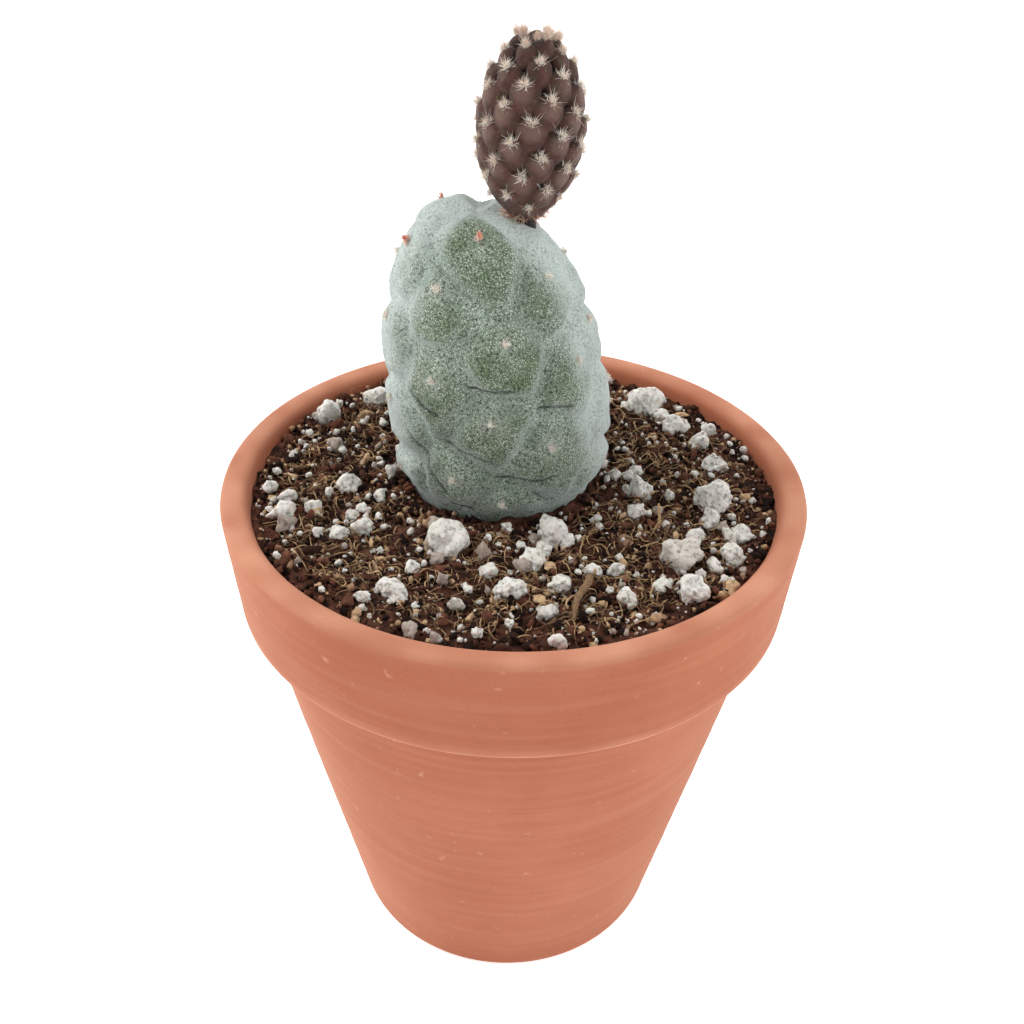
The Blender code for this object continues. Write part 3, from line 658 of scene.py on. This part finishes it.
def areole_places():
    """Angle and height of each areole, by the frame's rule: whorls of five, each turned by half a step."""
    draw = random.Random(SEED)
    places = []
    for whorl in range(AREOLE_WHORLS):
        for i in range(AREOLES_PER_WHORL):
            aside, above = AREOLE_NUDGES.get((whorl, i), (0.0, 0.0))
            angle = math.radians(WHORL_TURN + aside) + 2.0 * math.pi / AREOLES_PER_WHORL * (i + 0.5 * whorl)
            angle += draw.uniform(-AREOLE_SHIFT, AREOLE_SHIFT)
            height = TOP_WHORL_HEIGHT - WHORL_SPACING * whorl + above
            places.append((angle, height + draw.uniform(-AREOLE_RISE, AREOLE_RISE)))
    return np.array(places)


def outward_from(points, center):
    """Outward directions: level up to the apex's centre, and away from that centre above it."""
    level = np.minimum(points[:, 2], APEX_CENTER_HEIGHT)
    heart = np.column_stack([center, np.full(len(points), SEGMENT_Y), level])
    out = points - heart
    return out / np.linalg.norm(out, axis=1, keepdims=True)


def skin_lift(points):
    """How far each point of the plain segment is pushed out and pressed down, and the looks to store there.

    A mound rises round each areole, by how much nearer the point lies to it than to the next one. Creases
    between the mounds are dark below, and faint pale ridges above.
    """
    places = areole_places()
    height = places[:, 1] - MOUND_DROP
    middle, radius = outline_center(height), outline_radius(height)
    mounds = round_segment(places[:, 0], middle, radius, height)
    wobble = np.stack([layered_noise(points, 8.0, seed, 2) for seed in (101, 104, 107)], axis=1) * 0.95
    distance = np.sort(np.linalg.norm((points + wobble)[:, None] - mounds[None], axis=2), axis=1)
    between = distance[:, 1] - distance[:, 0]
    fade = smooth_step((points[:, 2] - SKIN_START) / SKIN_FADE)
    rise = MOUND_HEIGHT * fade * (smooth_step(between / MOUND_EDGE) - CREASE_SHARE)
    torn = smooth_step(0.2 + 1.6 * lattice_noise(points * (1.0, 1.0, 1.6), 7.0, 115))
    crease = np.exp(-(between / 0.26) ** 2) * fade * torn
    low = smooth_step((LOW_SKIN_TOP - points[:, 2]) / LOW_SKIN_FADE)
    rise -= 0.45 * crease * low
    rise += 0.14 * np.exp(-(between / 0.4) ** 2) * (1.0 - low) * fade
    rise += 0.22 * layered_noise(points, 3.0, 111, 3) * fade
    reach = np.hypot(points[:, 0] - CONE_BASE[0], points[:, 1] - CONE_BASE[1]) / CONE_DENT_WIDTH
    dent = CONE_DENT_DEPTH * smooth_step((points[:, 2] - CONE_DENT_START) / CONE_DENT_FADE)
    dent *= np.exp(-reach ** 2)
    areoles = round_segment(places[:, 0], middle, radius, places[:, 1])
    apart = np.linalg.norm((points + 0.4 * wobble)[:, None] - areoles[None], axis=2).min(axis=1)
    rise -= 0.25 * np.exp(-(apart / 0.9) ** 2) * fade
    patchy = 0.4 + 0.6 * smooth_step(layered_noise(points, 7.0, 117, 2))
    return rise, dent, {
        "crest": smooth_step((between - 0.5) / 9.0),
        "crease": crease * low,
        "halo": np.exp(-(apart / 2.2) ** 2) * fade,
        "ridge": np.exp(-(between / 0.45) ** 2) * (1.0 - low) * fade * patchy,
        "low": low,
    }


def crack_depth(turn, points):
    """How deep each point lies in a crack: wavering lines, thin at both ends."""
    degrees = np.degrees(turn)
    waver = 0.55 * layered_noise(points, 3.5, 127, 3)
    depth = np.zeros(len(points))
    for start, start_height, end, end_height in CRACKS:
        share = (degrees % 360 - start % 360 + 180) % 360 - 180
        share = share / (end - start)
        inside = smooth_step(share / CRACK_END_SHARE) * smooth_step((1.0 - share) / CRACK_END_SHARE)
        rise = end_height - start_height
        slope = rise / (math.radians(end - start) * CRACK_RADIUS)
        away = (points[:, 2] - start_height - share * rise + waver) / math.hypot(1.0, slope)
        depth = np.maximum(depth, inside * np.exp(-(away / CRACK_WIDTH) ** 2))
    return depth


def build_old_segment(sides, rows, cut, skin):
    """The old segment: rings up its outline, lifted into tubercles with creases and cracks between them."""
    climb = np.linspace(0.0, 1.0, rows) ** 0.96 * (len(SEGMENT_KNOTS) - 1)
    turn, place = np.meshgrid(round_angles(sides), climb)
    turn = turn.ravel()
    points, center = segment_surface(turn, place.ravel())
    rise, dent, values = skin_lift(points)
    cracks = crack_depth(turn, points)
    rise -= cut * cracks
    values["crease"] = np.maximum(values["crease"], cracks)
    out = outward_from(points, center)
    moved = points + out * rise[:, None]
    moved[:, 2] -= dent
    # Painted rim light and top light: the skin is made paler on both sides, as seen from the front, and on
    # the shoulder, where the wax is also taken as thicker
    aside = np.abs(np.sin(turn))
    shoulder = 0.65 * smooth_step((points[:, 2] - 144.0) / 10.0) * (1.0 - 0.5 * values["crest"])
    values["bloom_and_rim_light"] = smooth_step((aside - 0.55) / 0.5 + shoulder + 0.25 * layered_noise(points, 6.0, 119, 2))
    make_piece("old_segment", moved, grid_faces(rows, sides), old_skin(skin), "lower_segment",
               values)


def hair_clump(roots, outs, count, length, width, spread, seed):
    """Short pointed hairs round each root, three points each, fanning out from its outward direction."""
    draw = np.random.default_rng(seed)
    number = len(roots)
    heading = outs[:, None] + spread * draw.normal(size=(number, count, 3))
    heading /= np.linalg.norm(heading, axis=2, keepdims=True)
    start = roots[:, None] + width * draw.normal(size=(number, count, 3)) * 0.5
    reach = np.asarray(length).reshape(-1, 1, 1) * draw.uniform(0.5, 1.0, (number, count, 1))
    bend = 0.25 * reach * draw.normal(size=(number, count, 3))
    middle, end = start + 0.5 * heading * reach + 0.3 * bend, start + heading * reach + bend
    paths = np.stack([start, middle, end], axis=2)
    return paths.reshape(-1, HAIR_STEPS, 3), np.repeat(draw.random(number * count), HAIR_STEPS * HAIR_SIDES)


def build_areoles(hair):
    """Pale wool in each areole of the old segment, and red-brown leaf remains on the topmost."""
    places = areole_places()
    places = places[places[:, 1] > LOWEST_AREOLE]
    turn, height = places.T
    center = outline_center(height)
    points = round_segment(turn, center, outline_radius(height), height)
    rise, dent, _ = skin_lift(points)
    outs = outward_from(points, center)
    points = points + outs * rise[:, None]
    points[:, 2] -= dent
    keep = np.hypot(points[:, 0] - CONE_BASE[0], points[:, 1] - CONE_BASE[1]) > CONE_CLEARANCE
    points, outs, top = points[keep], outs[keep], height[keep] > LOWEST_LEAF
    material = wool(hair)
    paths, tone = hair_clump(points, outs, AREOLE_HAIRS, 0.75, 0.7, 0.8, 121)
    hairs, faces = strands(paths, (0.06, 0.045, 0.008), HAIR_SIDES)
    red = np.repeat(np.where(top, 0.2, 0.0), AREOLE_HAIRS * HAIR_STEPS * HAIR_SIDES)
    make_piece("areole_wool", hairs, faces, material, None,
               {"tone": 0.2 * tone, "red": red})
    roots, outs = points[top] + 0.3 * outs[top], outs[top] + (0, 0, 0.6)
    paths, tone = hair_clump(roots, outs, LEAF_SCALES, 1.25, 0.4, 0.35, 131)
    scales, faces = strands(paths, (0.17, 0.16, 0.02), HAIR_SIDES)
    make_piece("leaf_remains", scales, faces, material, None,
               {"tone": 0.5 * tone, "red": np.full(len(scales), 0.7)})


def cone_radius(share):
    """Radius of the cone segment's core, in millimetres."""
    return CONE_WIDEST_RADIUS * np.sin(math.pi * np.clip(share, 0.0, 1.0) ** 0.92) ** 0.62


def tubercle_places():
    """Angle, height and scale of each tubercle, by the frame's golden-angle rule."""
    i = np.arange(TUBERCLES)
    climb = 0.06 + 0.90 * ((i + 0.5) / TUBERCLES) ** 0.96
    scale = 1.0 - 0.45 * smooth_step((climb - 0.70) / 0.30) - 0.25 * smooth_step((0.22 - climb) / 0.22)
    return i * GOLDEN_ANGLE, climb * CONE_LENGTH, scale


def place_cone(points):
    """Lean the cone segment's points over and set them on the old segment's shoulder."""
    lean = np.array(Matrix.Rotation(CONE_LEAN, 3, "Y"))
    return points @ lean.T + CONE_BASE


def growth(share):
    """How full the tubercles are along the cone: less at its foot, and fading at its very tip."""
    return smooth_step((1.04 - share) / 0.12) * (0.75 + 0.25 * smooth_step(5.0 * share))


def build_cone(sides, rows, scale_color):
    """The young segment: an egg covered in overlapping drop-shaped tubercles, on a short stalk.

    A tubercle is a dome, the root of 1 less its distance across and along, each raised to a power. It is
    short above its tip and long below, and the highest of all domes counts at each point.
    """
    angle = round_angles(sides)
    share = 0.5 * (1.0 - np.cos(math.pi * np.linspace(0.03, 1.0, rows)))
    height = np.maximum(share * CONE_LENGTH, 0.6)
    radius = np.maximum(cone_radius(share), CONE_STALK_RADIUS * (1.0 - smooth_step(4.0 * share)))
    turn, tall = np.meshgrid(angle, height)
    wide = np.repeat(radius[:, None], sides, axis=1)
    best = np.zeros_like(tall)
    for tip_angle, tip_height, scale in zip(*tubercle_places()):
        across = (turn - tip_angle + math.pi) % (2.0 * math.pi) - math.pi
        across *= np.maximum(wide, LEAST_TURN_RADIUS)
        across /= TUBERCLE_HALF_WIDTH * scale
        along = (tall - tip_height) / (TUBERCLE_HALF_LENGTH * scale)
        along = TUBERCLE_TIP_SHARE + np.where(along < 0.0, along, 1.6 * along)
        dome = np.clip(1.0 - np.abs(across) ** 1.8 - along ** 2, 0.0, 1.0)
        best = np.maximum(best, TUBERCLE_HEIGHT * scale * dome ** 0.5)
    best *= growth(share)[:, None]
    out = wide + best
    points = np.stack([out * np.cos(turn), out * np.sin(turn), tall + 0.5 * best], axis=-1).reshape(-1, 3)
    rough = 0.10 * layered_noise(points, 0.9, 141, 3)
    points[:, :2] += points[:, :2] / (np.linalg.norm(points[:, :2], axis=1)[:, None] + 0.5) * rough[:, None]
    foot = -CONE_STALK_DEPTH
    rings = ((POLE_RADIUS, foot), (CONE_STALK_RADIUS, foot), (CONE_STALK_RADIUS, 0.4))
    stalk = [np.column_stack([r * np.cos(angle), r * np.sin(angle), np.full(sides, z)]) for r, z in rings]
    points = np.vstack(stalk + [points])
    # The stored lift carries the painted shade in the clefts and the painted highlight on the tubercles; the
    # crown is raised out of the painted shade
    crown = np.repeat(0.6 * smooth_step((share - 0.93) / 0.04), sides)
    lift = np.concatenate([np.zeros(len(rings) * sides), np.maximum(best.ravel() / TUBERCLE_HEIGHT, crown)])
    make_piece("cone_scales", place_cone(points), grid_faces(rows + len(rings), sides),
               young_skin(scale_color), "cone_segment", {"lift": lift})


def build_tufts(hair, wool_length, bristle_length):
    """A tuft of cream wool and bristles on the tip of each tubercle, turning tan and orange to the crown."""
    angle, height, scale = tubercle_places()
    extra = np.arange(CROWN_TUFTS)
    angle = np.append(angle, GOLDEN_ANGLE * extra)
    height = np.append(height, CONE_LENGTH * (0.94 + 0.004 * extra))
    scale = np.append(scale, np.full(CROWN_TUFTS, 0.2))
    share = height / CONE_LENGTH
    radius = cone_radius(share) + 0.82 * TUBERCLE_HEIGHT * scale * growth(share)
    lean = np.radians(25.0 + 50.0 * share)
    outs = np.stack([np.cos(angle) * np.cos(lean), np.sin(angle) * np.cos(lean), np.sin(lean)], axis=1)
    roots = np.stack([radius * np.cos(angle), radius * np.sin(angle), height + 0.9], axis=1) - 0.15 * outs
    # Towards the crown the hairs are longer, closer and finer
    youth = smooth_step((share - 0.84) / 0.12)
    longer, closer = 0.4 + 0.6 * scale + 0.35 * youth, (1.0 - 0.55 * youth)[:, None, None]
    finer = 1.0 - 0.45 * smooth_step((share - 0.8) / 0.15)
    crown = smooth_step((share - 0.8) / 0.2)
    material = wool(hair)
    for name, count, length, thick, spread, seed, warm in (
            ("wool", 96, wool_length, 0.055, 0.85, 151, 0.25),
            ("bristles", 36, bristle_length, 0.034, 0.65, 161, 0.6)):
        paths, tone = hair_clump(roots, outs, count, length * longer, 0.5, spread * closer, seed)
        radii = finer.repeat(count)[:, None] * np.array((thick, 0.8 * thick, 0.15 * thick))
        hairs, faces = strands(place_cone(paths), radii, HAIR_SIDES)
        warmth = crown.repeat(count * HAIR_STEPS * HAIR_SIDES)
        values = {"tone": np.clip(warm * tone + 0.45 * warmth * tone, 0, 1),
                  "red": 0.12 * warmth * (tone > 0.8)}
        make_piece("cone_" + name, hairs, faces, material, None, values)


def build_foot_bristles(hair):
    """Short tan bristles round the young segment's foot, where it grows from the old one."""
    angle = round_angles(FOOT_CLUMPS)
    outs = np.stack([np.cos(angle), np.sin(angle), np.full(FOOT_CLUMPS, 0.15)], axis=1)
    roots = outs * (2.5, 2.5, 0.0) + (0.0, 0.0, 1.3)
    paths, tone = hair_clump(roots, outs, FOOT_HAIRS, 2.2, 0.6, 0.6, 171)
    hairs, faces = strands(place_cone(paths), (0.06, 0.05, 0.01), HAIR_SIDES)
    make_piece("cone_foot_bristles", hairs, faces, wool(hair), None,
               {"tone": 0.3 + 0.6 * tone, "red": np.full(len(hairs), 0.1)})


# Stage

def add_light(name, place, size, power, color):
    """A square light at a place, aimed at the pot's top, with its size in metres and its power in watts."""
    light = bpy.data.lights.new(name, "AREA")
    light.size = size
    light.energy = power
    light.color = color
    lamp = bpy.data.objects.new(name, light)
    lamp.location = place
    aim = Vector((0.0, 0.0, 0.1)) - Vector(place)
    lamp.rotation_euler = aim.to_track_quat("-Z", "Y").to_euler()
    bpy.context.scene.collection.objects.link(lamp)


def build_stage(sky, key):
    """A white floor, an even white sky, a soft key light from the upper left, and the photograph's camera."""
    scene = bpy.context.scene
    white = linear("#FFFFFF")
    paper = painted("white_floor", white, ((1.0, "#FDFDFD", (("noise", 400.0),)),), Roughness=0.9,
                    Specular_IOR_Level=0.0, Emission_Color=white, Emission_Strength=0.55)
    mesh = bpy.data.meshes.new("floor")
    corners = [(x * FLOOR_REACH, y * FLOOR_REACH, 0.0) for x, y in ((-1, -1), (1, -1), (1, 1), (-1, 1))]
    mesh.from_pydata(corners, [], [(0, 1, 2, 3)])
    mesh.materials.append(paper)
    floor = bpy.data.objects.new("floor", mesh)
    scene.collection.objects.link(floor)
    world = bpy.data.worlds.new("white_sky")
    scene.world = world
    world.use_nodes = True
    sky_tree = world.node_tree
    background = sky_tree.nodes["Background"]
    background.inputs["Color"].default_value = white
    # The sky is bright at the sides and the back, dim in front, and plain white where it is seen
    direction = add_node(sky_tree, "TexCoord", "Generated")
    across = add_node(sky_tree, "SeparateXYZ", "X", Vector=direction)
    away = add_node(sky_tree, "SeparateXYZ", "Y", Vector=direction)
    side = add_node(sky_tree, "Math", p_operation="ABSOLUTE", i_0=across)
    back = add_node(sky_tree, "Math", p_operation="MAXIMUM", i_0=away, i_1=side)
    glow = add_node(sky_tree, "MapRange", Value=back, From_Min=0.2, From_Max=0.9,
                    To_Min=0.16 * sky, To_Max=2.5 * sky)
    seen = add_node(sky_tree, "LightPath", "Is Camera Ray")
    strength = add_node(sky_tree, "Math", p_operation="MAXIMUM", i_0=glow, i_1=seen)
    sky_tree.links.new(strength, background.inputs["Strength"])
    add_light("key_light", (-0.45, 0.1, 0.75), 0.35, key, (1.0, 0.985, 0.96))
    add_light("fill_light", (0.6, -0.3, 0.5), 0.6, 0.35 * key, (0.97, 0.98, 1.0))
    camera = bpy.data.cameras.new("camera")
    camera.lens, camera.sensor_width = CAMERA_LENS, SENSOR_WIDTH
    camera.clip_start = 0.01
    holder = bpy.data.objects.new("camera", camera)
    pitch = Matrix.Rotation(0.5 * math.pi - CAMERA_PITCH, 4, "X")
    roll = Matrix.Rotation(CAMERA_ROLL, 4, "Z")
    holder.matrix_world = Matrix.Translation(Vector(CAMERA_PLACE) * MM) @ pitch @ roll
    scene.collection.objects.link(holder)
    scene.camera = holder
    scene.view_settings.view_transform = "Standard"


# Add-on

def color_setting(name, description, code):
    """A colour that the sidebar shows, with its default in hex."""
    return bpy.props.FloatVectorProperty(name=name, description=description, subtype="COLOR", size=4, min=0.0,
                                         max=1.0, default=linear(code))


def length_setting(name, description, millimetres):
    """A length that the sidebar shows, with its default in millimetres."""
    return bpy.props.FloatProperty(name=name, description=description, unit="LENGTH", precision=5, min=0.0,
                                   default=millimetres * MM)


def count_setting(name, description, default):
    """A whole number that the sidebar shows."""
    return bpy.props.IntProperty(name=name, description=description, min=3, default=default)


def in_millimetres(length):
    """A length setting in millimetres, without the rounding that it was stored with."""
    return round(length / MM, 4)


class CactusSettings(bpy.types.PropertyGroup):
    """The main colours, a few lengths, how finely pieces are built, what lies on the soil, and the light."""
    clay: color_setting("Clay", "Colour of the fired clay", "#A15C41")
    peat: color_setting("Peat", "Colour of the lighter peat crumbs", "#7C4F3D")
    skin: color_setting("Skin", "Colour of the old segment under its bloom", "#5E7150")
    scales: color_setting("Scales", "Colour of the young segment's scales", "#55352D")
    hair: color_setting("Hair", "Colour of the wool and bristles", "#F6EFE4")
    crack_depth: length_setting("Crack depth", "Depth of the cracks in the old segment", 0.4)
    wool_length: length_setting("Wool length", "Length of the young segment's wool", 1.2)
    bristle_length: length_setting("Bristle length", "Length of the young segment's bristles", 2.15)
    pot_sides: count_setting("Pot sides", "Points round the pot", 216)
    skin_sides: count_setting("Skin sides", "Points round the old segment", 330)
    skin_rows: count_setting("Skin rows", "Rings up the old segment", 250)
    cone_sides: count_setting("Cone sides", "Points round the young segment", 280)
    cone_rows: count_setting("Cone rows", "Rings up the young segment", 225)
    soil_sides: count_setting("Soil sides", "Points round the soil", 300)
    soil_rows: count_setting("Soil rows", "Rings across the soil", 100)
    crumbs: count_setting("Crumbs", "Fine soil crumbs on the bed", 6000)
    perlite: count_setting("Perlite", "Small perlite grains", 420)
    fibres: count_setting("Fibres", "Strands lying on the soil", 2400)
    sky: bpy.props.FloatProperty(name="Sky", description="Strength of the white sky", default=0.7)
    key: bpy.props.FloatProperty(name="Key", description="Power of the key light", default=3.2, unit="POWER")


class CACTUS_OT_pot(bpy.types.Operator):
    """Build the clay pot."""
    bl_idname = "cactus.pot"
    bl_label = "Clay pot"

    def execute(self, context):
        settings = context.scene.cactus
        build_pot(settings.pot_sides, settings.clay)
        return {"FINISHED"}


class CACTUS_OT_soil(bpy.types.Operator):
    """Build the soil with its crumbs, perlite, fibres and litter."""
    bl_idname = "cactus.soil"
    bl_label = "Soil and perlite"

    def execute(self, context):
        settings = context.scene.cactus
        build_soil(settings.soil_sides, settings.soil_rows, settings.peat)
        build_crumbs(settings.crumbs, settings.peat)
        build_perlite(settings.perlite)
        build_fibres(settings.fibres)
        build_litter()
        return {"FINISHED"}


class CACTUS_OT_old_segment(bpy.types.Operator):
    """Build the old stem segment and its areoles."""
    bl_idname = "cactus.old_segment"
    bl_label = "Old segment"

    def execute(self, context):
        settings = context.scene.cactus
        cut = in_millimetres(settings.crack_depth)
        build_old_segment(settings.skin_sides, settings.skin_rows, cut, settings.skin)
        build_areoles(settings.hair)
        return {"FINISHED"}


class CACTUS_OT_cone(bpy.types.Operator):
    """Build the young cone segment and its tufts."""
    bl_idname = "cactus.cone"
    bl_label = "Cone segment"

    def execute(self, context):
        settings = context.scene.cactus
        build_cone(settings.cone_sides, settings.cone_rows, settings.scales)
        build_tufts(settings.hair, in_millimetres(settings.wool_length),
                    in_millimetres(settings.bristle_length))
        build_foot_bristles(settings.hair)
        return {"FINISHED"}


class CACTUS_OT_stage(bpy.types.Operator):
    """Set up the floor, the lights and the camera."""
    bl_idname = "cactus.stage"
    bl_label = "Stage"

    def execute(self, context):
        settings = context.scene.cactus
        build_stage(settings.sky, settings.key)
        return {"FINISHED"}


class CACTUS_PT_panel(bpy.types.Panel):
    """Buttons for each group of pieces."""
    bl_idname = "CACTUS_PT_panel"
    bl_label = "Potted cactus"
    bl_space_type = "VIEW_3D"
    bl_region_type = "UI"
    bl_category = "Cactus"

    def draw(self, context):
        for name in CactusSettings.__annotations__:
            self.layout.prop(context.scene.cactus, name)
        for operator in OPERATORS:
            self.layout.operator(operator.bl_idname)


OPERATORS = (CACTUS_OT_stage, CACTUS_OT_pot, CACTUS_OT_soil, CACTUS_OT_old_segment, CACTUS_OT_cone)
CLASSES = (CactusSettings, *OPERATORS, CACTUS_PT_panel)


def register():
    """Register the classes and give each scene its settings."""
    for item in CLASSES:
        bpy.utils.register_class(item)
    bpy.types.Scene.cactus = bpy.props.PointerProperty(type=CactusSettings)


def unregister():
    """Take the settings and the classes away again."""
    del bpy.types.Scene.cactus
    for item in reversed(CLASSES):
        bpy.utils.unregister_class(item)


def main():
    """Build everything in order."""
    register()
    bpy.ops.cactus.stage()
    bpy.ops.cactus.pot()
    bpy.ops.cactus.soil()
    bpy.ops.cactus.old_segment()
    bpy.ops.cactus.cone()


if __name__ == "__main__":
    main()
